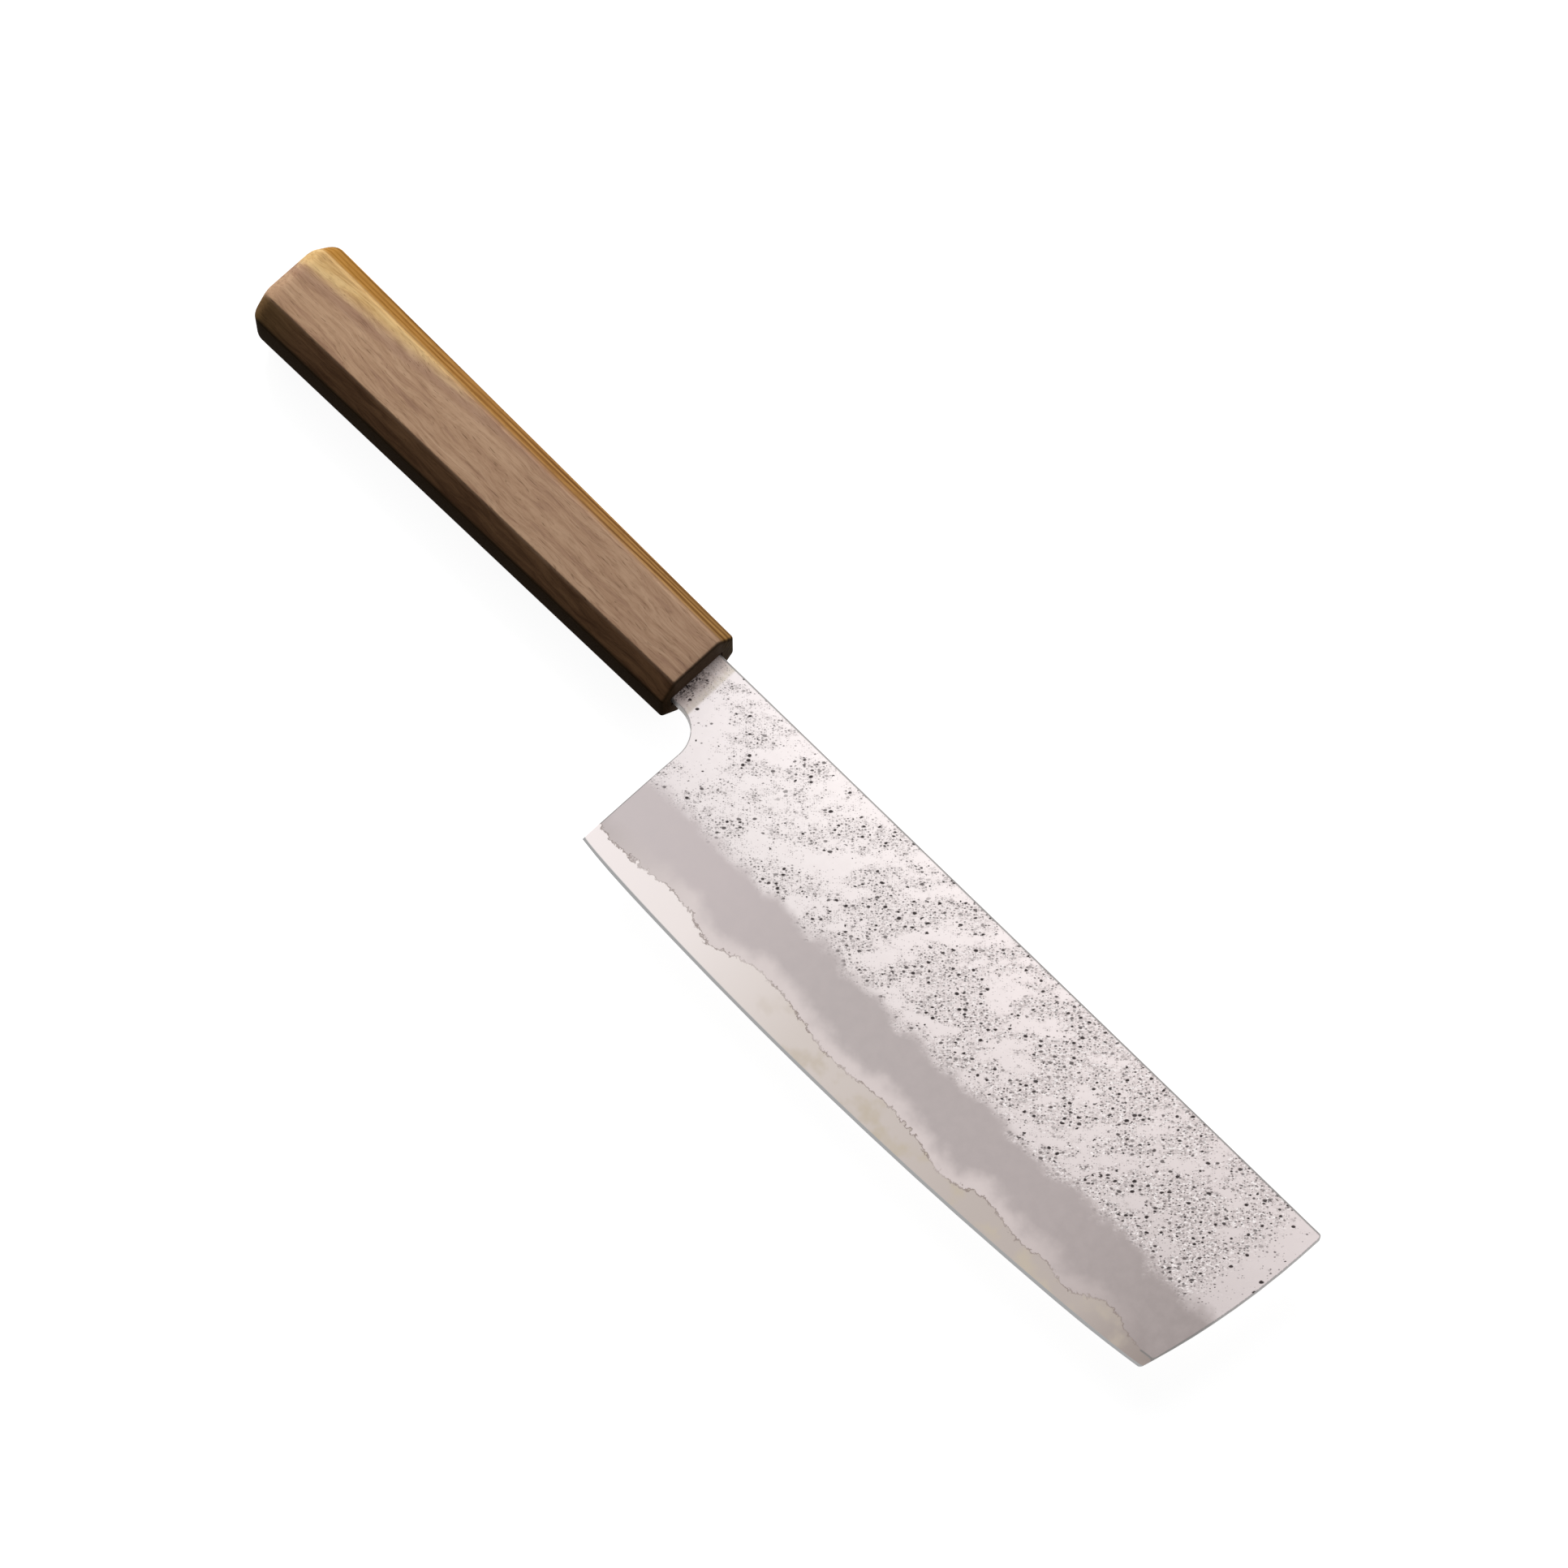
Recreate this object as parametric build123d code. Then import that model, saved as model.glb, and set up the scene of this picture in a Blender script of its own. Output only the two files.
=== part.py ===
from build123d import *
import os
from math import copysign, pi, sin

# Nakiri knife in millimetres, lying on its left side.
# +X runs from the handle to the blade's tip, +Y from the cutting edge to the spine,
# and +Z out of the blade's right face. While it is built, x is 0 at the handle's front,
# y is 0 on the line of the spine and z is 0 in the blade's middle plane.

# Blade outline
edge_length = 165.0
front_rake = 6.8
heel_gap = 9.2
heel_height = 50.0
tip_height = 47.4
edge_bow = 3.8
edge_fullness_share = 0.7
tip_belly = 1.5
tip_belly_share = 0.42
tip_corner_radius = 1.2
spine_corner_radius = 0.9
choil_lean = 1.1
neck_height = 14.4
neck_radius = 7.6
spine_reach = heel_gap + edge_length + front_rake

# Blade cross-section
neck_thickness = 3.2
tip_thickness = 1.9
neck_grind_depth = 0.08
neck_grind_reach = 5.0
spine_break = 0.25
flat_relief = 0.1
shoulder_drop = 29.5
bevel_crown = 0.12
edge_bevel_height = 0.7
edge_bevel_thickness = 0.4
edge_land = 0.06
station_shares = (0, 0.05, 0.12, 0.25, 0.4, 0.55, 0.7, 0.82, 0.92, 1)

# Layers: a hard core between two soft sides, seen where each side stops above the edge
core_thickness = 0.7
forge_line_height = 7.5
right_line_shares = (
    (0.00, 0.63), (0.08, 0.77), (0.18, 0.86), (0.21, 0.66), (0.25, 0.94), (0.38, 1.00),
    (0.44, 0.82), (0.51, 0.98), (0.61, 0.72), (0.66, 0.58), (0.70, 0.88), (0.78, 0.58),
    (0.82, 0.68), (0.86, 0.46), (0.91, 0.88), (0.96, 0.56), (1.00, 0.40),
)
left_line_shares = (
    (0.00, 0.55), (0.07, 0.80), (0.16, 0.62), (0.24, 0.90), (0.33, 0.98), (0.42, 0.74),
    (0.50, 0.86), (0.58, 0.60), (0.67, 0.92), (0.77, 0.80), (0.84, 0.52), (0.92, 0.74),
    (1.00, 0.42),
)

# Hidden tang
neck_sink = 3.0
tang_length = 92.0
tang_end_height = 6.0
tang_end_thickness = 2.0
tang_end_radius = 2.6

# Handle: a tapered octagon with one slot for the tang
handle_length = 129.4
handle_drop = 6.8
front_height = 21.7
front_thickness = 17.4
front_chamfer = 4.3
butt_height = 25.2
butt_thickness = 19.0
butt_chamfer = 4.8
chamfer_slope = 0.92
butt_crown = 1.5
butt_round = 3.0
front_round = 0.8
tang_clearance = 0.5
slot_end_gap = 3.0
seal_depth = 2.2
seal_recess = 0.5

overrun = 5.0


def edge_drop(along):
    """How far the cutting edge lies below the spine, at a share of the edge's length."""
    wave = sin(pi * along)
    bow = copysign(abs(wave) ** edge_fullness_share, wave)
    return heel_height + (tip_height - heel_height) * along + edge_bow * bow


def spine_thickness(x):
    """The blade thins evenly from the handle to the tip."""
    return neck_thickness + (tip_thickness - neck_thickness) * x / spine_reach


def edge_point(along, height=0.0):
    """A point above the cutting edge, in the blade's middle plane."""
    return heel_gap + edge_length * along, height - edge_drop(along)


def neck_grind(x):
    """How much each side of the neck is ground away, more towards the handle."""
    return neck_grind_depth * (neck_grind_reach - x) / (neck_grind_reach + neck_sink)


def flat_half(x, drop):
    """Half the blade's thickness on its flats, which close slightly towards the edge."""
    return spine_thickness(x) / 2 - flat_relief * drop / shoulder_drop


def mirrored(points):
    """Points across the knife, followed round by their twins on the left side."""
    return points + [(y, -z) for y, z in reversed(points)]


def flats_section(x, ground_off=0):
    """Across the blade from its eased spine to where the bevels start."""
    return mirrored([
        (0, flat_half(x, 0) - spine_break - ground_off),
        (-spine_break, flat_half(x, spine_break) - ground_off),
        (-shoulder_drop, flat_half(x, shoulder_drop) - ground_off),
    ])


def bevel_section(along):
    """Across the blade below its flats: crowned bevels and a fine edge bevel."""
    x, edge = edge_point(along)
    shoulder = (-shoulder_drop, flat_half(x, shoulder_drop))
    bevel_end = (edge + edge_bevel_height, edge_bevel_thickness / 2)
    land = (edge, edge_land / 2)
    crown = (
        (shoulder[0] + bevel_end[0]) / 2,
        (shoulder[1] + bevel_end[1]) / 2 + bevel_crown,
    )

    def left(point):
        return point[0], -point[1]

    top = Line(left(shoulder), shoulder)
    right_bevel = ThreePointArc(shoulder, crown, bevel_end)
    edge_bevels = Polyline(bevel_end, land, left(land), left(bevel_end))
    left_bevel = ThreePointArc(left(bevel_end), left(crown), left(shoulder))
    return Plane.YZ.offset(x) * make_face(top + right_bevel + edge_bevels + left_bevel)


def tapered_block(near_x, near_corners, far_x, far_corners):
    """A flat-sided solid between two matching outlines across the knife."""
    near = [Vector(near_x, y, z) for y, z in near_corners]
    far = [Vector(far_x, y, z) for y, z in far_corners]
    rings = [near, far]
    for here, corner in enumerate(near):
        following = (here + 1) % len(near)
        rings.append([corner, near[following], far[following], far[here]])
    faces = [Face(Wire.make_polygon(ring)) for ring in rings]
    return Part() + Solid(Shell(faces))


def rectangle(middle, height, thickness):
    """Corners of an upright rectangle across the knife."""
    return mirrored([(middle + height / 2, thickness / 2), (middle - height / 2, thickness / 2)])


def blade_outline():
    """The blade seen from its right side, open below the cutting edge."""
    heel = Vector(*edge_point(0))
    tip = Vector(*edge_point(1))
    spine_end = Vector(spine_reach, 0)
    choil_top = Vector(heel_gap + choil_lean, -neck_height)
    below = Vector(0, -heel_height - overrun)
    front_middle = tip + (spine_end - tip) * tip_belly_share + Vector(tip_belly, 0)
    spine = Line((-neck_sink, 0), spine_end)
    front = Spline(spine_end, front_middle, tip)
    turn = Vector(*edge_point(1 - 2 * tip_corner_radius / edge_length))
    under = Polyline(tip, turn, (turn.X, below.Y), (heel.X, below.Y), heel)
    choil = Line(heel, choil_top)
    neck = Polyline(choil_top, (-neck_sink, -neck_height), (-neck_sink, 0))
    outline = make_face(spine + front + under + choil + neck)
    roundings = (
        (choil_top, neck_radius),
        (spine_end, spine_corner_radius),
        (tip, tip_corner_radius),
    )
    for corner, radius in roundings:
        outline = fillet(outline.vertices().sort_by_distance(corner)[0], radius)
    return outline


def tang():
    """A tapering stick with a rounded end, from the neck into the handle."""
    root_thickness = spine_thickness(-neck_sink) - 2 * neck_grind_depth
    root = rectangle(-neck_height / 2, neck_height, root_thickness)
    end = rectangle(-handle_drop, tang_end_height, tang_end_thickness)
    stick = tapered_block(-neck_sink, root, -tang_length, end)
    corners = stick.edges().filter_by(Axis.Z).group_by(Axis.X)[0]
    return fillet(corners, tang_end_radius)


def forged_billet():
    """Blade, neck and tang as ground, before it is told apart into its layers."""
    start_x = -neck_sink - overrun
    end_x = spine_reach + overrun
    neck_end = flats_section(start_x, neck_grind(start_x))
    neck_line = flats_section(neck_grind_reach)
    neck = tapered_block(start_x, neck_end, neck_grind_reach, neck_line)
    flats = tapered_block(neck_grind_reach, neck_line, end_x, flats_section(end_x))
    start = (start_x - heel_gap) / edge_length
    end = (end_x - heel_gap) / edge_length
    bevels = loft([bevel_section(along) for along in (start, *station_shares, end)])
    depth = neck_thickness + overrun
    profile = extrude(blade_outline(), depth, both=True)
    return ((neck + flats + bevels) & profile) + tang()


def side_region(line_shares, direction):
    """The space that one soft side fills: outside the core and above its forge line."""
    line = [edge_point(along, forge_line_height * high) for along, high in line_shares]
    back_x = -tang_length - overrun
    front_x = spine_reach + overrun
    border = Spline(*line) + Polyline(
        line[-1], (front_x, line[-1][1]), (front_x, overrun),
        (back_x, overrun), (back_x, line[0][1]), line[0],
    )
    start = Pos(0, 0, direction * core_thickness / 2)
    return extrude(start * make_face(border), neck_thickness * direction)


def octagon(height, thickness, chamfer):
    """Corners of the handle's section: tall, with four broad chamfers."""
    half_height, half_thickness = height / 2, thickness / 2
    flat_height = half_height - chamfer
    flat_thickness = half_thickness - chamfer / chamfer_slope
    return mirrored([
        (half_height - handle_drop, flat_thickness),
        (flat_height - handle_drop, half_thickness),
        (-flat_height - handle_drop, half_thickness),
        (-half_height - handle_drop, flat_thickness),
    ])


def handle_slot():
    """The pocket for the tang, a clearance wider than the tang all round."""
    spread = 2 * tang_clearance
    mouth = rectangle(-neck_height / 2, neck_height + spread, neck_thickness + spread)
    end = rectangle(-handle_drop, tang_end_height + spread, tang_end_thickness + spread)
    return tapered_block(0, mouth, -tang_length - slot_end_gap, end)


def handle_body(slot):
    """One piece of hardwood with a crowned, rounded butt."""
    front = octagon(front_height, front_thickness, front_chamfer)
    butt = octagon(butt_height, butt_thickness, butt_chamfer)
    body = tapered_block(0, front, -handle_length, butt)
    crown_radius = (butt_height**2 / 4 + butt_crown**2) / (2 * butt_crown)
    crown = Pos(crown_radius - handle_length, -handle_drop, 0) * Sphere(crown_radius)
    butt_end = Box(4 * butt_crown, butt_height + overrun, butt_thickness + overrun)
    body -= Pos(-handle_length, -handle_drop, 0) * butt_end - crown
    butt_edges = body.faces().sort_by(Axis.X)[0].edges()
    body = fillet(butt_edges, butt_round)
    front_edges = body.faces().sort_by(Axis.X)[-1].edges()
    body = fillet(front_edges, front_round)
    return body - slot


def band(x_from, x_to):
    """A block across the handle between two places along it, for cutting out fillings."""
    length = x_to - x_from
    block = Box(length, butt_height, butt_thickness)
    return Pos((x_from + x_to) / 2, -handle_drop, 0) * block


billet = forged_billet()
right_cladding = billet & side_region(right_line_shares, 1)
left_cladding = billet & side_region(left_line_shares, -1)
core_steel = billet - right_cladding - left_cladding
slot = handle_slot()
filling = slot - billet
tang_bedding = filling & band(-tang_length - slot_end_gap, -seal_depth)
mouth_seal = filling & band(-seal_depth, -seal_recess)

nodes = {
    "core_steel": core_steel,
    "right_cladding": right_cladding,
    "left_cladding": left_cladding,
    "handle_body": handle_body(slot),
    "tang_bedding": tang_bedding,
    "mouth_seal": mouth_seal,
}

# The origin is under the middle of the whole knife, on the surface it lies on.
box = Compound(list(nodes.values())).bounding_box()
to_origin = Pos(-box.center().X, -box.center().Y, -box.min.Z)

os.makedirs("parts", exist_ok=True)
for name, node in nodes.items():
    export_step(to_origin * node, f"parts/{name}.step")
print("origin moved by", to_origin.position)
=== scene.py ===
import math
import random

import bmesh
import bpy
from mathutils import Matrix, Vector
from mathutils.bvhtree import BVHTree
from mathutils.geometry import delaunay_2d_cdt
from mathutils.kdtree import KDTree


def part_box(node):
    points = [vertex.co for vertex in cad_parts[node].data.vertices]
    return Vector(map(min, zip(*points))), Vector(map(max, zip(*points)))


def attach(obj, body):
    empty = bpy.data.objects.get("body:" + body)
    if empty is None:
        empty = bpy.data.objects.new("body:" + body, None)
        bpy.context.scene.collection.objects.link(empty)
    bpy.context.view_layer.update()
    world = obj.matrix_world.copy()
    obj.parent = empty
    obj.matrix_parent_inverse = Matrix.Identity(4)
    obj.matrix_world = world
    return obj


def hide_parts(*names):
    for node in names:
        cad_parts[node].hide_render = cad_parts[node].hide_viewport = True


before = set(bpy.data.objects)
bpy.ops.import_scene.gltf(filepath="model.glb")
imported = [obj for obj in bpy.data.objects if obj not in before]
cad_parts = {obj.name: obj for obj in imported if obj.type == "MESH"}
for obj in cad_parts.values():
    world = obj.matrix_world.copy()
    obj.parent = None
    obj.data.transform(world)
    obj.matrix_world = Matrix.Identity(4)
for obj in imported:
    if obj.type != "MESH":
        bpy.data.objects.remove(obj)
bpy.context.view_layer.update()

# A nakiri knife lying on its left side: +X to the blade's tip, +Y to the spine, +Z out of
# the right face. Sizes are in metres, except where a name or a comment says millimetres.
MM = 0.001

# Where the blade's own measure starts: the handle's front, the spine and the middle plane
front_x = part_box("handle_body")[1].x
spine_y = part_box("right_cladding")[1].y
middle_z = sum(corner.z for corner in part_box("handle_body")) / 2

# The blade's shape in millimetres, as it was forged and ground
edge_length = 165.0
heel_gap = 9.2
heel_height = 50.0
tip_height = 47.4
edge_bow = 3.8
edge_fullness = 0.7
blade_reach = 181.0
neck_thickness = 3.2
tip_thickness = 1.9
neck_grind_depth = 0.08
neck_grind_reach = 5.0
neck_sink = 3.0
flat_relief = 0.1
shoulder_drop = 29.5
bevel_crown = 0.12
edge_bevel_height = 0.7
edge_bevel_half = 0.2
edge_land_half = 0.03
core_half = 0.35

# How the pear skin is forged: factors, and a depth in millimetres
skin_settings = {"Pit size": 1.0, "Pit depth": 0.03, "Crowding": 1.0}

# The fine mesh of the blade's sides: shares of its spacing, and else millimetres
side_spacing = 0.34
edge_spacing = 0.5
rim_spacing = 0.5
row_share = 0.866
jitter_share = 0.12
clear_share = 0.55
ground_margin = 4.0
fade_start = 0.25
fade_width = 0.8

# The forge line in millimetres: how high above the edge it is looked for, how closely it is
# measured, and how near to it a rim still belongs to it
line_reach = 12.0
line_step = 0.1
line_margin = 0.4

# Points farther than this from the forge line or the rim count as this far away
far_from_line = 9.0
far_from_rim = 3.0

# From these angles on, in degrees, an edge is sharp or borders the skin
cad_sharp = 25
skin_border = 4
skin_sharp = 6
wood_sharp = 30


def edge_drop(x):
    """How far the cutting edge lies below the spine."""
    along = (x - heel_gap) / edge_length
    wave = math.sin(math.pi * along)
    bow = math.copysign(abs(wave) ** edge_fullness, wave)
    return heel_height + (tip_height - heel_height) * along + edge_bow * bow


def half_thickness(x, drop):
    """Half the blade's thickness at a place, with its flats, bevels and edge bevels."""
    def flat(down):
        half = (neck_thickness + (tip_thickness - neck_thickness) * x / blade_reach) / 2
        ground = neck_grind_depth * (neck_grind_reach - x) / (neck_grind_reach + neck_sink)
        return half - flat_relief * down / shoulder_drop - max(ground, 0)

    if drop <= shoulder_drop:
        return flat(drop)
    end = edge_drop(x) - edge_bevel_height
    if drop < end:
        along = (drop - shoulder_drop) / (end - shoulder_drop)
        straight = flat(shoulder_drop) * (1 - along) + edge_bevel_half * along
        return straight + 4 * bevel_crown * along * (1 - along)
    down = min((drop - end) / edge_bevel_height, 1)
    return edge_bevel_half + (edge_land_half - edge_bevel_half) * down


def to_blade(place):
    """A point in metres as millimetres past the handle, below the spine and off the middle."""
    return (place.x - front_x) / MM, (spine_y - place.y) / MM, (place.z - middle_z) / MM


def from_blade(x, drop, off):
    """The point in metres at such a place of the blade."""
    return Vector((front_x + x * MM, spine_y - drop * MM, middle_z + off * MM))


# Node trees

def srgb(red, green, blue):
    """A colour as it looks on a screen, from 0 to 255, as the linear colour of a shader."""
    def linear(value):
        value /= 255
        return value / 12.92 if value <= 0.04045 else ((value + 0.055) / 1.055) ** 2.4
    return linear(red), linear(green), linear(blue), 1.0


class Wiring:
    """Puts nodes into a tree and links them."""

    def __init__(self, tree):
        self.tree = tree

    def put(self, kind, inputs=None, **settings):
        made = self.tree.nodes.new(kind)
        for name, value in settings.items():
            setattr(made, name, value)
        for place, value in (inputs or {}).items():
            socket = made.inputs[place]
            if isinstance(value, bpy.types.NodeSocket):
                self.tree.links.new(value, socket)
            else:
                socket.default_value = value
        return made

    def calc(self, operation, *values):
        node = self.put("ShaderNodeMath", dict(enumerate(values)), operation=operation)
        return node.outputs[0]

    def times(self, value, *factors):
        for factor in factors:
            value = self.calc("MULTIPLY", value, factor)
        return value

    def highest(self, value, *others):
        for other in others:
            value = self.calc("MAXIMUM", value, other)
        return value

    def waver(self, value, noise, reach):
        """A value that noise from 0 to 1 moves to both sides."""
        return self.calc("MULTIPLY_ADD", self.calc("SUBTRACT", noise, 0.5), reach, value)

    def vector(self, operation, *values):
        node = self.put("ShaderNodeVectorMath", dict(enumerate(values)), operation=operation)
        return node.outputs[0]

    def split(self, vector):
        return self.put("ShaderNodeSeparateXYZ", {0: vector}).outputs

    def join(self, x, y, z):
        return self.put("ShaderNodeCombineXYZ", {0: x, 1: y, 2: z}).outputs[0]

    def step(self, value, low, high, start=0.0, end=1.0):
        """A soft step from start at low to end at high."""
        node = self.put(
            "ShaderNodeMapRange",
            {"Value": value, "From Min": low, "From Max": high, "To Min": start, "To Max": end},
            interpolation_type="SMOOTHSTEP",
        )
        return node.outputs[0]

    def noise(self, vector, scale, detail=2.0, roughness=0.5, distortion=0.0):
        """Noise from 0 to 1, about one half."""
        node = self.put("ShaderNodeTexNoise", {
            "Vector": vector, "Scale": scale, "Detail": detail,
            "Roughness": roughness, "Distortion": distortion,
        })
        return node.outputs[0]

    def mix(self, factor, first, second, blend="MIX"):
        """A colour between two colours."""
        node = self.put("ShaderNodeMix", data_type="RGBA", blend_type=blend)
        for place, value in ((0, factor), (6, first), (7, second)):
            if isinstance(value, bpy.types.NodeSocket):
                self.tree.links.new(value, node.inputs[place])
            else:
                node.inputs[place].default_value = value
        return node.outputs[2]

    def attribute(self, name):
        """A number that the mesh holds for each of its points."""
        return self.put("ShaderNodeAttribute", attribute_name=name).outputs["Fac"]

    def ramp(self, value, stops):
        """Colours along a value, from a list of (place, red, green, blue)."""
        node = self.put("ShaderNodeValToRGB", {0: value})
        band = node.color_ramp
        while len(band.elements) < len(stops):
            band.elements.new(0.5)
        for element, (place, *colour) in zip(band.elements, stops):
            element.position = place
            element.color = srgb(*colour)
        return node.outputs[0]


def shader_group(name, inputs, outputs, build):
    """A node group with named sockets, whose nodes are put in by a function."""
    tree = bpy.data.node_groups.new(name, "ShaderNodeTree")
    for label, kind, value in inputs:
        socket = tree.interface.new_socket(label, in_out="INPUT", socket_type=kind)
        if value is not None:
            socket.default_value = value
    for label, kind in outputs:
        tree.interface.new_socket(label, in_out="OUTPUT", socket_type=kind)
    wiring = Wiring(tree)
    given = wiring.put("NodeGroupInput").outputs
    made = build(wiring, given)
    wiring.put("NodeGroupOutput", {label: made[label] for label, _ in outputs})
    return tree


FLOAT, VECTOR, COLOUR = "NodeSocketFloat", "NodeSocketVector", "NodeSocketColor"


def blade_place(wiring, position):
    """A position as millimetres from the handle's front, spine and middle plane."""
    away = wiring.vector("SUBTRACT", position, (front_x, spine_y, middle_z))
    return wiring.vector("MULTIPLY", away, (1 / MM, -1 / MM, 1 / MM))


def shaded_place(wiring):
    """The same for the point that a material is shading."""
    return blade_place(wiring, wiring.put("ShaderNodeTexCoord").outputs["Object"])


def new_material(name):
    material = bpy.data.materials.new(name)
    material.use_nodes = True
    material.node_tree.nodes.clear()
    return material, Wiring(material.node_tree)


def close_material(wiring, colour, roughness, relief, depth, strength, more=None):
    """The bump, the Principled shader and the output that a material ends in."""
    bump = wiring.put("ShaderNodeBump", {
        "Height": relief, "Distance": depth, "Strength": strength})
    shader = wiring.put("ShaderNodeBsdfPrincipled", {
        "Base Color": colour, "Roughness": roughness, "Normal": bump.outputs[0],
        **(more or {})})
    wiring.put("ShaderNodeOutputMaterial", {0: shader.outputs[0]})


# The blade's skin

def pear_skin(wiring, place, settings):
    """The forged skin above the bevel: crowds of small pits, and smooth patches between."""
    x, drop, off = wiring.split(place)
    # the two sides take their noise from places far apart, so that they differ
    shifted_x = wiring.calc("MULTIPLY_ADD", wiring.calc("SIGN", off), 400.0, x)
    shifted = wiring.join(shifted_x, drop, 0.0)

    # the grinder's hazy upper border
    cloud = wiring.noise(shifted, 0.12, 3.0, 0.5)
    lobes = wiring.noise(shifted, 0.5, 2.0, 0.5)
    border = wiring.calc("MULTIPLY_ADD", cloud, 9.0, drop)
    border = wiring.calc("MULTIPLY_ADD", lobes, 1.6, border)
    ground = wiring.step(border, 33.2, 37.6)

    # crowds lie in slanting drifts and thicken towards the tip
    along = wiring.calc("MULTIPLY_ADD", drop, -0.97, shifted_x)
    across = wiring.calc("MULTIPLY_ADD", drop, 1.04, shifted_x)

    def slanted(along_scale, across_scale):
        """The place measured along and across the drifts."""
        return wiring.join(
            wiring.times(along, along_scale), wiring.times(across, across_scale), 0.0)

    drift = wiring.noise(slanted(0.052, 0.115), 1.0, 3.0, 0.6)
    ragged = wiring.noise(shifted, 0.42, 3.0, 0.6)
    drift = wiring.waver(drift, ragged, 0.34)
    drift = wiring.calc("ADD", drift, wiring.step(x, 10.0, 120.0, 0.0, 0.08))
    calm = wiring.step(wiring.calc("MULTIPLY_ADD", drop, 0.143, x), 171.5, 177.5, 1.0, 0.12)
    crowd = wiring.times(wiring.step(drift, 0.45, 0.60), calm, wiring.step(x, 4.9, 5.5))
    neck_rows = wiring.times(
        wiring.step(drop, 3.0, 6.5), wiring.step(drop, 12.0, 14.5, 1.0, 0.0))
    neck_spots = wiring.times(wiring.step(x, 0.8, 4.0, 1.7, 0.0), neck_rows)
    crowd = wiring.times(wiring.highest(crowd, neck_spots), settings["Crowding"])
    dust = wiring.times(
        wiring.step(drift, 0.36, 0.56), calm, wiring.step(x, 50.0, 110.0, 1.0, 0.5))
    pit_place = slanted(0.53, 0.75)

    def pits(cell, least, most, crowd, share, stray):
        """One pit in each cell that its own chance allows: darkness, and depth as a share."""
        warp = wiring.put("ShaderNodeTexNoise", {
            "Vector": pit_place, "Scale": 1.1 / cell, "Detail": 1.0})
        bent = wiring.vector("MULTIPLY_ADD", warp.outputs[1], (0.45 * cell,) * 3, pit_place)
        cells = wiring.put("ShaderNodeTexVoronoi", {
            "Vector": bent, "Scale": 1 / cell, "Randomness": 0.9,
        }, voronoi_dimensions="2D")
        chance = wiring.split(cells.outputs["Color"])
        allowed = wiring.calc("MULTIPLY_ADD", crowd, share, stray)
        there = wiring.calc("LESS_THAN", chance[0], allowed)
        radius = wiring.times(
            wiring.step(chance[1], 0.0, 1.0, least, most), settings["Pit size"])
        distance = wiring.times(cells.outputs["Distance"], cell)
        ratio = wiring.calc("DIVIDE", distance, radius)
        deep = wiring.times(there, wiring.step(ratio, 0.2, 1.1, 1.0, 0.0))
        dark = wiring.times(there, wiring.step(ratio, 0.55, 1.15, 1.0, 0.0))
        return wiring.times(dark, wiring.step(chance[2], 0.0, 0.8, 0.3, 1.0)), deep

    large_crowd = wiring.times(crowd, wiring.step(x, 8.0, 45.0, 0.4, 1.0))
    large_dark, large = pits(1.2, 0.17, 0.42, large_crowd, 0.62, 0.03)
    small_dark, small = pits(0.62, 0.12, 0.24, crowd, 0.84, 0.02)
    specks, _ = pits(0.36, 0.08, 0.15, dust, 0.6, 0.02)

    # ripples, grit and creases between the pits: the grit's tops carry a painted highlight, its
    # hollows and the creases a painted shade
    ripple = wiring.noise(slanted(0.46, 0.9), 1.0, 2.0, 0.5, 0.5)
    ripple = wiring.times(wiring.calc("SUBTRACT", ripple, 0.5), crowd)
    grit = wiring.noise(slanted(0.7, 1.25), 1.0, 4.0, 0.72, 0.4)
    grit = wiring.times(wiring.calc("SUBTRACT", grit, 0.5), crowd)
    # painted highlight on the tops of the grit, stronger towards the tip
    grit_highlight = wiring.times(wiring.step(grit, 0.0, 0.1), wiring.step(x, 30.0, 110.0, 0.3, 1.0))
    winding = wiring.noise(slanted(0.30, 0.62), 1.0, 2.0, 0.55, 0.8)
    winding = wiring.calc("ABSOLUTE", wiring.calc("SUBTRACT", winding, 0.5))
    torn = wiring.times(crowd, wiring.step(ragged, 0.44, 0.6))
    crease = wiring.times(wiring.step(winding, 0.006, 0.034, 1.0, 0.0), torn)

    skin = wiring.calc("SUBTRACT", 1.0, ground)
    # dark marks: the pits' own dark oxide, and painted shade in the grit's hollows and along the
    # creases
    dark = wiring.highest(
        large_dark, wiring.times(small_dark, 0.72), wiring.times(specks, 0.42),
        wiring.step(grit, -0.08, -0.2, 0.0, 0.5), wiring.times(crease, 0.4))
    height = wiring.calc("MULTIPLY_ADD", large, -1.0, wiring.times(small, -0.4))
    height = wiring.calc("MULTIPLY_ADD", crease, -0.35, height)
    swell = wiring.step(x, 20.0, 100.0, 1.0, 4.4)
    height = wiring.calc("MULTIPLY_ADD", ripple, swell, height)
    return {
        "Pits_and_shade": wiring.times(dark, skin), "Ground": ground, "Flat place": shifted,
        "Height": wiring.times(height, settings["Pit depth"], skin),
        "Crowd": wiring.times(crowd, skin), "Painted_highlight": wiring.times(grit_highlight, skin),
    }


skin_group = shader_group(
    "pear_skin",
    [("Place", VECTOR, None)] + [(label, FLOAT, value) for label, value in skin_settings.items()],
    [("Pits_and_shade", FLOAT), ("Height", FLOAT), ("Ground", FLOAT), ("Crowd", FLOAT),
     ("Flat place", VECTOR), ("Painted_highlight", FLOAT)],
    lambda wiring, given: pear_skin(wiring, given["Place"], given),
)


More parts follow.
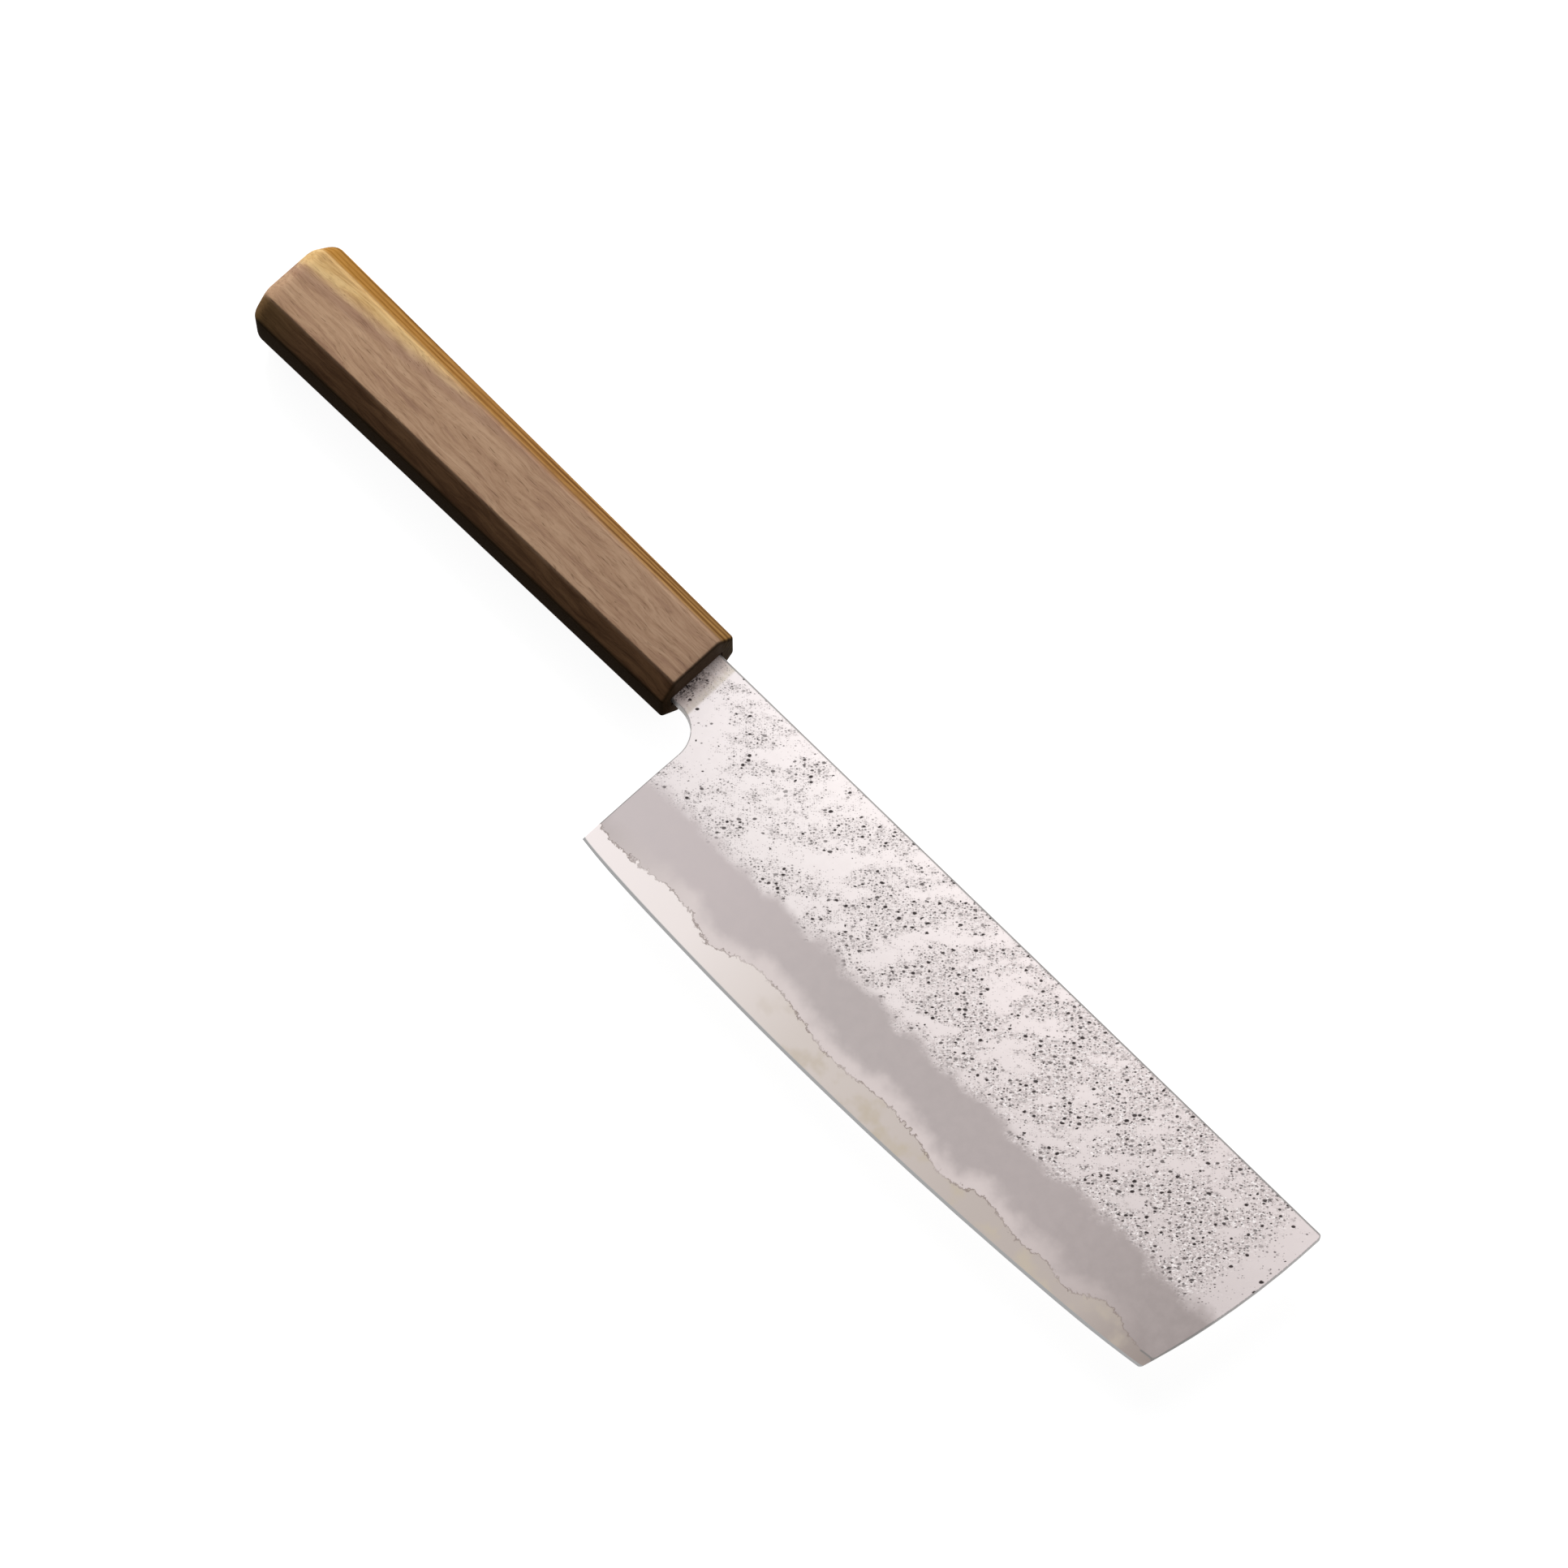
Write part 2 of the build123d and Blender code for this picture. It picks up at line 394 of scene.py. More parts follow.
def forging_tree():
    """Geometry nodes that beat the pear skin into a fine mesh of the blade's side."""
    tree = bpy.data.node_groups.new("forge_skin", "GeometryNodeTree")
    tree.interface.new_socket("Geometry", in_out="OUTPUT", socket_type="NodeSocketGeometry")
    tree.interface.new_socket("Geometry", in_out="INPUT", socket_type="NodeSocketGeometry")
    for label, value in skin_settings.items():
        tree.interface.new_socket(label, in_out="INPUT", socket_type=FLOAT).default_value = value
    tree.interface.new_socket("Material", in_out="INPUT", socket_type="NodeSocketMaterial")
    wiring = Wiring(tree)
    given = wiring.put("NodeGroupInput").outputs
    position = wiring.put("GeometryNodeInputPosition").outputs[0]
    made = pear_skin(wiring, blade_place(wiring, position), given)
    fade = wiring.put("GeometryNodeInputNamedAttribute", {"Name": "skin_fade"}, data_type="FLOAT")
    sunk = wiring.calc("MINIMUM", made["Height"], 0.0)
    lift = wiring.times(wiring.times(sunk, fade.outputs[0]), MM)
    moved = wiring.put("GeometryNodeSetPosition", {
        "Geometry": given["Geometry"], "Offset": wiring.join(0.0, 0.0, lift)})
    real = wiring.put("GeometryNodeRealizeInstances", {"Geometry": moved.outputs[0]})
    dressed = wiring.put("GeometryNodeSetMaterial", {
        "Geometry": real.outputs[0], "Material": given["Material"]})
    wiring.put("NodeGroupOutput", {"Geometry": dressed.outputs[0]})
    return tree


def merged_copy(node):
    """A CAD node's loose triangles, joined into one closed mesh with sharp edges marked."""
    joined = bmesh.new()
    joined.from_mesh(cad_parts[node].data)
    bmesh.ops.remove_doubles(joined, verts=joined.verts, dist=1e-6)
    bmesh.ops.dissolve_degenerate(joined, dist=1e-7, edges=joined.edges)
    joined.normal_update()
    for edge in joined.edges:
        edge.smooth = edge.calc_face_angle(0) < math.radians(cad_sharp)
    for face in joined.faces:
        face.smooth = True
    return joined


def is_skin(face, side):
    """A face of the ground or forged surface, and not of a wall or of a hidden layer."""
    x, drop, off = to_blade(face.calc_center_median())
    facing = face.normal.z * side
    on_core = facing > 0.99999 and abs(off * side - core_half) < 0.005
    on_surface = facing > 0.9 and abs(off * side - half_thickness(x, drop)) < 0.12
    return x > -neck_sink and on_surface and not on_core


def hexagonal(low, high, spacing, jitter):
    """Points in staggered rows over a rectangle in millimetres."""
    rows = int((high[1] - low[1]) / (spacing * row_share))
    for row in range(rows):
        y = low[1] + (row + 0.5) * spacing * row_share
        x = low[0] + (0.5 if row % 2 else 0.0) * spacing
        while x < high[0]:
            stray_x = jitter.uniform(-jitter_share, jitter_share) * spacing
            stray_y = jitter.uniform(-jitter_share, jitter_share) * spacing
            yield x + stray_x, y + stray_y
            x += spacing


def firsts(faces):
    """Where each face's corners start in a list of all the faces' corners."""
    total = 0
    for face in faces:
        yield total
        total += len(face.verts)


def lay_skin(joined, side, line, spacing, jitter):
    """Replace one side's few large faces by a fine even mesh with the same rim."""
    for face in joined.faces:
        face.tag = is_skin(face, side)

    def rim_edges():
        found = []
        for edge in joined.edges:
            skins = sum(face.tag for face in edge.link_faces)
            bent = edge.calc_face_angle(0) > math.radians(skin_border)
            if skins == 1 or skins == 2 and bent:
                found.append(edge)
        return found

    for edge in rim_edges():
        first, last = edge.verts
        start, end = first.co.copy(), last.co.copy()
        parts = math.ceil((end - start).length / (rim_spacing * MM))
        for part in range(1, parts):
            first = bmesh.utils.edge_split(edge, first, 0.5)[1]
            first.co = start.lerp(end, part / parts)
            edge = next(piece for piece in first.link_edges if last in piece.verts)
    joined.normal_update()
    skin = [face for face in joined.faces if face.tag]
    covered = BVHTree.FromPolygons(
        [vert.co.copy() for face in skin for vert in face.verts],
        [range(first, first + len(face.verts)) for face, first in zip(skin, firsts(skin))])
    walls, places, edges, number = {}, [], [], {}
    for edge in rim_edges():
        ends = []
        for vert in edge.verts:
            if vert not in number:
                number[vert] = len(places)
                places.append(vert.co.xy / MM)
                if any(not face.tag for face in vert.link_faces):
                    walls[number[vert]] = vert
            ends.append(number[vert])
        edges.append(ends)
    inner = {index: vert.co.copy() for vert, index in number.items() if index not in walls}
    near = KDTree(len(places))
    for here, place in enumerate(places):
        near.insert(place.to_3d(), here)
    near.balance()
    outline = KDTree(len(walls))
    for here, vert in walls.items():
        if line_height(line, vert.co, side) > line_margin:
            outline.insert(places[here].to_3d(), here)
    outline.balance()
    lows = [min(place[axis] for place in places) for axis in range(2)]
    highs = [max(place[axis] for place in places) for axis in range(2)]
    # the ground bevel is smooth, so wider spacing does below this height
    smooth = spine_y / MM - shoulder_drop - ground_margin
    bands = [
        ((lows[0], max(lows[1], smooth)), highs, spacing),
        (lows, (highs[0], smooth), edge_spacing),
    ]
    for low, high, gap in bands:
        for x, y in hexagonal(low, high, gap, jitter):
            if near.find((x, y, 0))[2] > clear_share * gap:
                places.append(Vector((x, y)))
    made, _, faces, origins, _, _ = delaunay_2d_cdt(places, edges, [], 1, 1e-6, True)
    fade = joined.verts.layers.float["skin_fade"]
    height_layer = joined.verts.layers.float["line_height"]
    edge_layer = joined.verts.layers.float["edge_height"]
    rim_layer = joined.verts.layers.float["rim_distance"]
    bmesh.ops.delete(joined, geom=skin, context="FACES")
    corners = {}

    def corner(index):
        source = origins[index][0] if origins[index] else None
        if source in walls:
            return walls[source]
        if index not in corners:
            if source in inner:
                place = inner[source]
            else:
                spot = Vector((made[index].x * MM, made[index].y * MM, 0))
                x, drop, _ = to_blade(spot)
                place = from_blade(x, drop, side * half_thickness(x, drop))
            corners[index] = joined.verts.new(place)
        return corners[index]

    def turned(face):
        a, b, c = (made[index] for index in face)
        return (b - a).cross(c - a)

    # largest first: a sliver beside a straight rim finds its edges taken and is left out
    laid = []
    for face in sorted(faces, key=lambda face: -abs(turned(face))):
        middle = (made[face[0]] + made[face[1]] + made[face[2]]) / 3 * MM
        if covered.ray_cast((middle.x, middle.y, 1), (0, 0, -1))[0] is None:
            continue
        around = [corner(index) for index in face]
        sides = [joined.edges.get((around[n - 1], around[n])) for n in range(3)]
        if any(edge and len(edge.link_faces) > 1 for edge in sides):
            continue
        if (turned(face) > 0) != (side > 0):
            around.reverse()
        laid.append(joined.faces.new(around))
    for vert in list(corners.values()) + list(walls.values()):
        x, drop, _ = to_blade(vert.co)
        flat_place = Vector((vert.co.x / MM, vert.co.y / MM, 0))
        distance = near.find(flat_place)[2]
        vert[fade] = side * min(max((distance - fade_start) / fade_width, 0.0), 1.0)
        vert[edge_layer] = edge_drop(x) - drop
        vert[height_layer] = line_height(line, vert.co, side)
        vert[rim_layer] = min(outline.find(flat_place)[2] or 0.0, far_from_rim)
    joined.normal_update()
    for face in laid:
        face.smooth = True
        for edge in face.edges:
            edge.smooth = edge.calc_face_angle(0) < math.radians(skin_sharp)


def forge_line(side):
    """Where one soft side stops above the edge: points along the lower rim of its skin."""
    joined = merged_copy("right_cladding" if side > 0 else "left_cladding")
    points = []
    for edge in joined.edges:
        skins = [face for face in edge.link_faces if is_skin(face, side)]
        if len(skins) != 1 or len(edge.link_faces) != 2:
            continue
        wall = [face for face in edge.link_faces if face not in skins][0]
        middle = (edge.verts[0].co + edge.verts[1].co) / 2
        x, drop, _ = to_blade(middle)
        # the wall at the forge line faces down to the edge
        if wall.normal.y < -0.35 and edge_drop(x) - drop < line_reach:
            parts = max(math.ceil(edge.calc_length() / (line_step * MM)), 1)
            for part in range(parts + 1):
                points.append(edge.verts[0].co.lerp(edge.verts[1].co, part / parts))
    joined.free()
    tree = KDTree(len(points))
    for here, point in enumerate(points):
        tree.insert(point.xy.to_3d(), here)
    tree.balance()
    return tree, points


def line_height(line, place, side):
    """Millimetres from the forge line: above zero on the soft side, below zero on the core."""
    tree, points = line
    _, index, distance = tree.find(place.xy.to_3d())
    return math.copysign(min(distance / MM, far_from_line), place.y - points[index].y)


def settle(obj, node):
    """A finished piece stands for its CAD node and rides on the knife's one body."""
    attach(obj, "root")
    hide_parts(node)


def new_piece(name, mesh):
    """An object in the scene."""
    obj = bpy.data.objects.new(name, mesh)
    bpy.context.scene.collection.objects.link(obj)
    return obj


def steel_piece(name, node, sides, lines, spacing, forging, material):
    """A layer of the blade with a fine skin, beaten where its forged surface shows."""
    jitter = random.Random(7)
    joined = merged_copy(node)
    for layer in ("skin_fade", "line_height", "edge_height", "rim_distance"):
        joined.verts.layers.float.new(layer)
    for vert in joined.verts:
        x, drop, _ = to_blade(vert.co)
        vert[joined.verts.layers.float["line_height"]] = far_from_line
        vert[joined.verts.layers.float["edge_height"]] = edge_drop(x) - drop
    for side in sides:
        lay_skin(joined, side, lines[side], spacing, jitter)
    bmesh.ops.triangulate(joined, faces=[face for face in joined.faces if len(face.verts) > 4])
    mesh = bpy.data.meshes.new(name)
    joined.to_mesh(mesh)
    joined.free()
    piece = new_piece(name, mesh)
    if forging:
        beaten = piece.modifiers.new("forge_skin", "NODES")
        beaten.node_group = forging
        wanted = {**skin_settings, "Material": material}
        for item in forging.interface.items_tree:
            if item.item_type == "SOCKET" and item.in_out == "INPUT" and item.name in wanted:
                beaten[item.identifier] = wanted[item.name]
        seen = piece.evaluated_get(bpy.context.evaluated_depsgraph_get())
        piece.data = bpy.data.meshes.new_from_object(seen)
        piece.data.name = name
        piece.modifiers.clear()
    else:
        piece.data.materials.append(material)
    settle(piece, node)


# Steel

def steel_finish(wiring, given):
    """Colour, roughness and relief of the laminated blade, from its edge to its spine."""
    line, edge = given["Line height"], given["Edge height"]
    skin = wiring.put("ShaderNodeGroup", {"Place": given["Place"]}, node_tree=skin_group).outputs
    x, drop, _ = wiring.split(given["Place"])
    flat = skin["Flat place"]

    # the weld wanders by a fraction of a millimetre round the layers' border
    wander = wiring.noise(flat, 0.55, 4.0, 0.65)
    jag = wiring.noise(flat, 2.1, 2.0, 0.6)
    wandered = wiring.waver(wiring.waver(line, wander, 3.8), jag, 0.6)
    on_core = wiring.step(wandered, -0.08, 0.08, 1.0, 0.0)
    weld = wiring.step(wiring.calc("ABSOLUTE", wandered), 0.06, 0.28, 1.0, 0.0)
    faint = wiring.step(wiring.noise(flat, 0.12, 2.0), 0.38, 0.6, 0.45, 1.0)
    weld = wiring.times(weld, faint)

    # colours along the blade, from the heel to the tip; their darkening towards the tip is partly
    # painted light, falling off away from the lamps
    tipward = wiring.calc("DIVIDE", x, blade_reach)
    pear = wiring.ramp(tipward, [
        (0.0, 246, 238, 238), (0.22, 251, 243, 242), (0.55, 244, 234, 233),
        (0.72, 237, 227, 226), (0.86, 225, 215, 214), (1.0, 222, 212, 211)])
    # painted light: the pear skin brighter at the spine and darker towards the edge
    spine_to_edge_light = wiring.calc("MULTIPLY_ADD", drop, -0.0058, 1.064)
    pear = wiring.put(
        "ShaderNodeVectorMath", {0: pear, "Scale": spine_to_edge_light}, operation="SCALE").outputs[0]
    haze = wiring.ramp(tipward, [
        (0.0, 205, 196, 196), (0.2, 200, 190, 190), (0.4, 187, 178, 177),
        (0.75, 181, 171, 170), (1.0, 163, 153, 151)])
    halo = wiring.ramp(tipward, [
        (0.0, 184, 175, 174), (0.2, 220, 210, 208), (0.7, 215, 204, 202),
        (0.86, 191, 180, 178), (1.0, 140, 130, 128)])
    core = wiring.ramp(tipward, [
        (0.0, 247, 238, 237), (0.22, 237, 228, 225), (0.4, 212, 202, 196),
        (0.7, 191, 180, 174), (0.86, 186, 175, 169), (1.0, 143, 131, 126)])
    patches = wiring.times(
        wiring.step(wiring.noise(flat, 0.13, 3.0, 0.5), 0.5, 0.68),
        wiring.step(x, 45.0, 95.0), wiring.step(x, 135.0, 165.0, 1.0, 0.5))
    core = wiring.mix(patches, core, srgb(195, 183, 168))

    # the bevel's haze, the pear skin's own mottle, painted shade over the crowds of pits and a
    # painted highlight on their grit
    haze_cloud = wiring.noise(flat, 0.16, 3.0, 0.55)
    hazy = wiring.step(wiring.waver(line, haze_cloud, 7.0), 0.4, 5.2)
    bevel = wiring.mix(hazy, halo, haze)
    soft = wiring.mix(skin["Ground"], pear, bevel)
    mottle = wiring.noise(flat, 0.35, 4.0, 0.6)
    soft = wiring.mix(wiring.step(mottle, 0.25, 0.75, 0.0, 0.12), soft, srgb(214, 202, 200))
    # painted shade: the crowds of pits darker, more so towards the tip
    between = wiring.times(skin["Crowd"], wiring.step(x, 30.0, 110.0, 0.06, 0.24))
    soft = wiring.mix(between, soft, srgb(190, 178, 176))
    # painted highlight on the grit's tops
    soft = wiring.mix(wiring.times(skin["Painted_highlight"], 0.85), soft, srgb(252, 246, 245))
    colour = wiring.mix(on_core, soft, core)
    colour = wiring.mix(wiring.times(weld, 0.7), colour, srgb(128, 113, 106))

    # polished neck beside the handle, darkened towards the wood and lower down by painted shade
    # and reflection of the handle
    neck = wiring.step(x, 4.5, 5.3, 1.0, 0.0)
    handle_shade = wiring.step(x, -0.5, 4.0, 1.0, 0.0)
    streaks = wiring.noise(wiring.vector("MULTIPLY", flat, (0.5, 1.6, 0.0)), 1.0, 3.0, 0.6)
    cloudy = wiring.step(streaks, 0.35, 0.65, 0.6, 0.95)
    band = wiring.mix(wiring.step(x, 2.4, 4.6), srgb(214, 200, 194), srgb(226, 215, 203))
    colour = wiring.mix(wiring.times(neck, cloudy), colour, band)
    colour = wiring.mix(wiring.times(handle_shade, 0.4), colour, srgb(180, 165, 164))
    # painted shade of the handle, deeper lower down the neck
    lower = wiring.times(neck, wiring.step(drop, 3.0, 9.0, 0.0, 0.3))
    colour = wiring.mix(lower, colour, srgb(140, 125, 122))
    soot = wiring.times(
        wiring.step(x, 0.3, 2.6, 1.0, 0.0), wiring.step(drop, 3.5, 7.0),
        wiring.step(drop, 12.0, 14.0, 1.0, 0.0),
        wiring.step(wiring.noise(flat, 1.3, 4.0, 0.65), 0.4, 0.6))

    # the cut spine, front and choil have no forged skin
    forged = wiring.step(given["Rim distance"], 0.03, 0.2)
    pits = wiring.times(skin["Pits_and_shade"], wiring.times(forged, 0.93))
    pits = wiring.highest(pits, soot)
    # the pits and soot turn near black, together with the skin's painted shade in its hollows and
    # creases
    colour = wiring.mix(pits, colour, srgb(48, 38, 38))
    fine_edge = wiring.step(edge, 0.55, 0.8, 1.0, 0.0)
    colour = wiring.mix(fine_edge, colour, srgb(164, 164, 164))
    # a grey band along the outline: painted shade of its rounded rim
    rim = wiring.step(given["Rim distance"], 0.05, 0.34, 0.75, 0.0)
    colour = wiring.mix(rim, colour, srgb(122, 122, 120))

    # fine strokes of the stone, square to the edge
    stroke_place = wiring.vector("MULTIPLY", flat, (7.0, 0.35, 0.0))
    strokes = wiring.noise(stroke_place, 1.0, 2.0, 0.6)
    ground = wiring.highest(skin["Ground"], on_core)
    rough = wiring.step(ground, 0.0, 1.0, 0.40, 0.50)
    rough = wiring.calc("MULTIPLY_ADD", skin["Crowd"], 0.05, rough)
    rough = wiring.calc("MULTIPLY_ADD", wiring.times(on_core, -1.0), 0.14, rough)
    rough = wiring.calc("MULTIPLY_ADD", strokes, 0.05, rough)
    rough = wiring.calc("MULTIPLY_ADD", fine_edge, -0.12, rough)
    rough = wiring.calc("MULTIPLY_ADD", pits, 0.35, rough)
    relief = wiring.times(skin["Height"], wiring.times(forged, 1.7))
    relief = wiring.calc("MULTIPLY_ADD", weld, -0.012, relief)
    relief = wiring.calc("MULTIPLY_ADD", strokes, wiring.times(ground, 0.0012), relief)
    return {"Colour": colour, "Roughness": rough, "Relief": relief}


finish_group = shader_group(
    "steel_finish",
    [("Place", VECTOR, None), ("Line height", FLOAT, far_from_line),
     ("Edge height", FLOAT, 20.0), ("Rim distance", FLOAT, far_from_rim)],
    [("Colour", COLOUR), ("Roughness", FLOAT), ("Relief", FLOAT)],
    steel_finish,
)


def steel(name):
    """A steel whose finish follows the border of the layers, the edge and the rim."""
    material, wiring = new_material(name)
    made = wiring.put("ShaderNodeGroup", {
        "Place": shaded_place(wiring), "Line height": wiring.attribute("line_height"),
        "Edge height": wiring.attribute("edge_height"),
        "Rim distance": wiring.attribute("rim_distance"),
    }, node_tree=finish_group).outputs
    close_material(
        wiring, made["Colour"], made["Roughness"], made["Relief"], MM, 1.0, {"Metallic": 1.0})
    return material


# The handle's shape in millimetres: sizes are height, thickness and chamfer
handle_length = 129.4
handle_drop = 6.8
front_size = (21.7, 17.4, 4.3)
butt_size = (25.2, 19.0, 4.8)
chamfer_slope = 0.92
butt_crown = 1.5
butt_round = 3.0
front_round = 0.8
arris_round = 0.45
corner_softness = 0.9
tang_clearance = 0.5
slot_depth = 95.0
tang_end = (6.0, 2.0)
neck_height = 14.4

# How finely the handle is divided
corner_points = 5
front_steps = 4
straight_steps = 64
butt_steps = 8
slot_steps = 10
crown_insets = (4.2, 5.6, 7.0)


def octagon(x, inset):
    """The handle's section as points (up, off) with eased corners, drawn in by an inset."""
    share = min(max(-x / handle_length, 0), 1)
    height, thickness, chamfer = (a + (b - a) * share for a, b in zip(front_size, butt_size))
    tall, wide = height / 2, thickness / 2
    flat_tall, flat_wide = tall - chamfer, wide - chamfer / chamfer_slope
    quarter = [Vector((tall, flat_wide)), Vector((flat_tall, wide))]
    corners = quarter + [Vector((-p.x, p.y)) for p in reversed(quarter)]
    corners += [Vector((-p.x, -p.y)) for p in quarter]
    corners += [Vector((p.x, -p.y)) for p in reversed(quarter)]
    points = []
    count = len(corners)
    # the corners turn rounder where the wood is drawn in at its ends
    softer = min(inset, butt_round, 1.8 * butt_round - 0.6 * inset)
    radius = arris_round + corner_softness * softer
    for here, corner in enumerate(corners):
        before, after = corners[here - 1], corners[(here + 1) % count]
        back, on = (before - corner).normalized(), (after - corner).normalized()
        half_angle = back.angle(on) / 2
        inward = (back + on).normalized()
        corner = corner + inward * inset / math.sin(half_angle)
        centre = corner + inward * radius / math.sin(half_angle)
        across = Vector((-inward.y, inward.x))
        if across.dot(back) < 0:
            across.negate()
        for step in range(corner_points):
            turn = (math.pi / 2 - half_angle) * (1 - 2 * step / (corner_points - 1))
            outward = across * math.sin(turn) - inward * math.cos(turn)
            points.append(centre + outward * radius)
    return points


def handle_mesh(name):
    """One piece of wood: eased octagon, crowned butt, and the slot for the tang."""
    crown = (butt_size[0] ** 2 / 4 + butt_crown ** 2) / (2 * butt_crown)
    made = bmesh.new()
    eased = made.verts.layers.float.new("eased")

    def ring(x, inset, crowned=False, rise=0.0):
        verts = []
        section_x = x + rise + (butt_crown if crowned else 0.0)
        for number, point in enumerate(octagon(section_x, inset)):
            place_x = x
            if crowned:
                place_x += crown - math.sqrt(crown ** 2 - point.length_squared) + rise
            vert = made.verts.new(from_blade(place_x, handle_drop - point.x, point.y))
            vert[eased] = 1.0 if 0 < number % corner_points < corner_points - 1 else 0.35
            verts.append(vert)
        return verts

    rings = []
    for step in range(front_steps + 1):
        angle = math.pi / 2 * step / front_steps
        rings.append(ring(
            -front_round * (1 - math.sin(angle)), front_round * (1 - math.cos(angle))))
    rings.reverse()
    for vert in rings[0] + rings[1] + rings[2]:
        vert[eased] = 1.0
    straight_length = handle_length - front_round - butt_round - 1.5 * butt_crown
    for step in range(1, straight_steps + 1):
        rings.append(ring(-front_round - straight_length * step / straight_steps, 0.0))
    for step in range(butt_steps + 1):
        angle = math.pi / 2 * step / butt_steps
        rings.append(ring(-handle_length, butt_round * (1 - math.cos(angle)), True,
                          butt_round * (1 - math.sin(angle))))
    for inset in crown_insets:
        rings.append(ring(-handle_length, inset, True))
    for first, second in zip(rings, rings[1:]):
        for here in range(len(first)):
            following = (here + 1) % len(first)
            made.faces.new((first[here], first[following], second[following], second[here]))
    middle = made.verts.new(from_blade(-handle_length, handle_drop, 0.0))
    last = rings[-1]
    for here in range(len(last)):
        made.faces.new((last[here], last[(here + 1) % len(last)], middle))

    def slot_ring(x, drop, height, thickness):
        tall, wide = height / 2 + tang_clearance, thickness / 2 + tang_clearance
        around = [(tall, wide), (-tall, wide), (-tall, -wide), (tall, -wide)]
        verts = []
        for here, corner in enumerate(around):
            after = around[(here + 1) % len(around)]
            for step in range(slot_steps):
                up = corner[0] + (after[0] - corner[0]) * step / slot_steps
                out = corner[1] + (after[1] - corner[1]) * step / slot_steps
                verts.append(made.verts.new(from_blade(x, drop - up, out)))
        return verts

    mouth = slot_ring(0.0, neck_height / 2, neck_height, neck_thickness)
    deep = slot_ring(-slot_depth, handle_drop, *tang_end)
    for here in range(len(mouth)):
        following = (here + 1) % len(mouth)
        made.faces.new((mouth[following], mouth[here], deep[here], deep[following]))
    made.faces.new(deep)
    edges = [edge for edge in made.edges if edge.is_boundary]
    bmesh.ops.triangle_fill(made, edges=edges, use_beauty=True)
    bmesh.ops.recalc_face_normals(made, faces=made.faces)
    for face in made.faces:
        face.smooth = True
    for edge in made.edges:
        edge.smooth = edge.calc_face_angle(0) < math.radians(wood_sharp)
    mesh = bpy.data.meshes.new(name)
    made.to_mesh(mesh)
    made.free()
    return mesh


# Wood and resin

